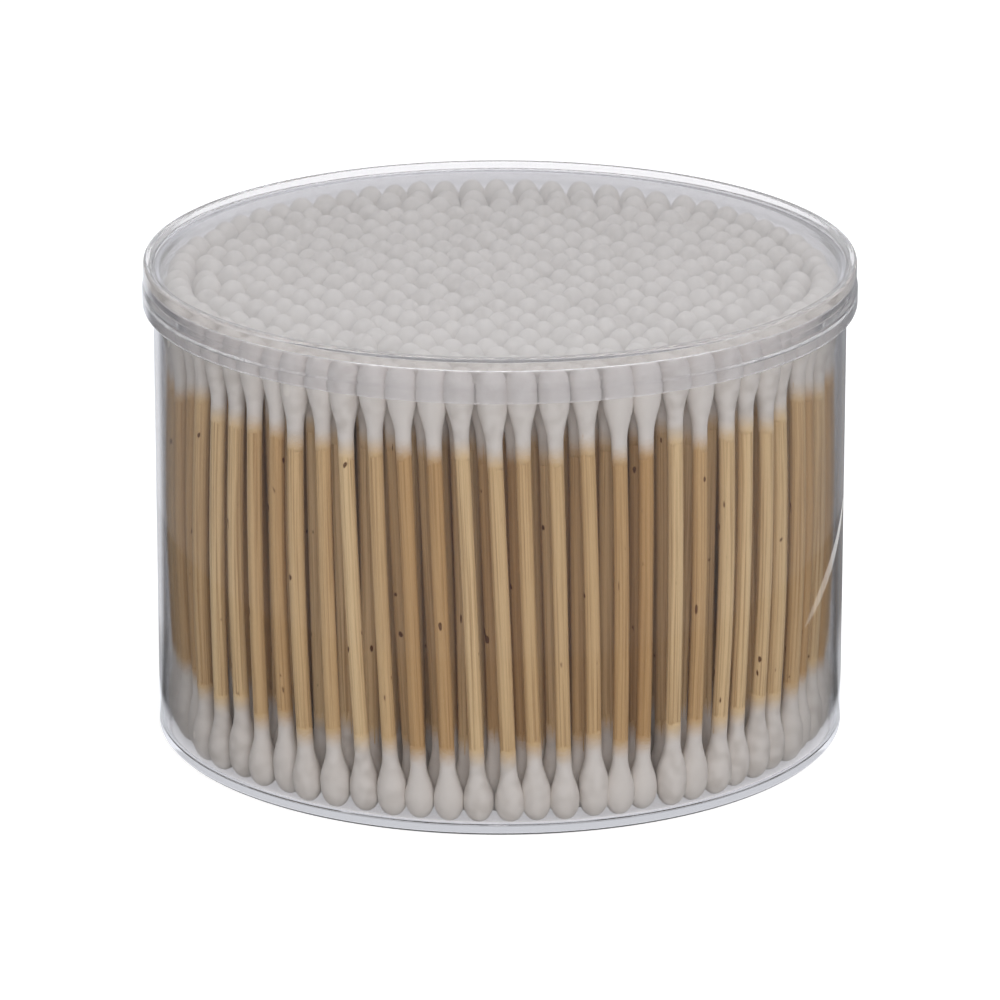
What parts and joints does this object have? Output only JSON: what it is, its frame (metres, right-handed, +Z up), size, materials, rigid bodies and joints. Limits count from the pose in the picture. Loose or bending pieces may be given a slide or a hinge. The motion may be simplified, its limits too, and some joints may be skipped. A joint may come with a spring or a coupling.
{
  "type": "cotton swab tub",
  "caption": "Round clear plastic tub with a shallow press-on lid, packed with upright double-ended cotton swabs on bamboo sticks.",
  "frame": {"origin": "centre of the flat underside of the tub", "axes": "+Z up along the axis of the round tub, -Y towards the front"},
  "size_m": [0.116, 0.116, 0.0793],
  "materials": {
    "clear_plastic": "injection-moulded crystal polystyrene, clear and glossy",
    "bamboo": "split and turned bamboo, dry, with lengthwise grain",
    "cotton": "wound white cotton, matte and slightly fibrous"
  },
  "bodies": {
    "tub": {"tub": "clear_plastic", "outer_sticks": "bamboo", "outer_top_buds": "cotton", "outer_bottom_buds": "cotton", "inner_sticks": "bamboo", "inner_top_buds": "cotton", "inner_bottom_buds": "cotton"},
    "lid": {"lid": "clear_plastic"}
  },
  "joints": [
    {"name": "lid_lift", "type": "slide", "parent": "tub", "child": "lid", "axis": [0, 0, 1], "range_m": [0, 0.04]}
  ]
}
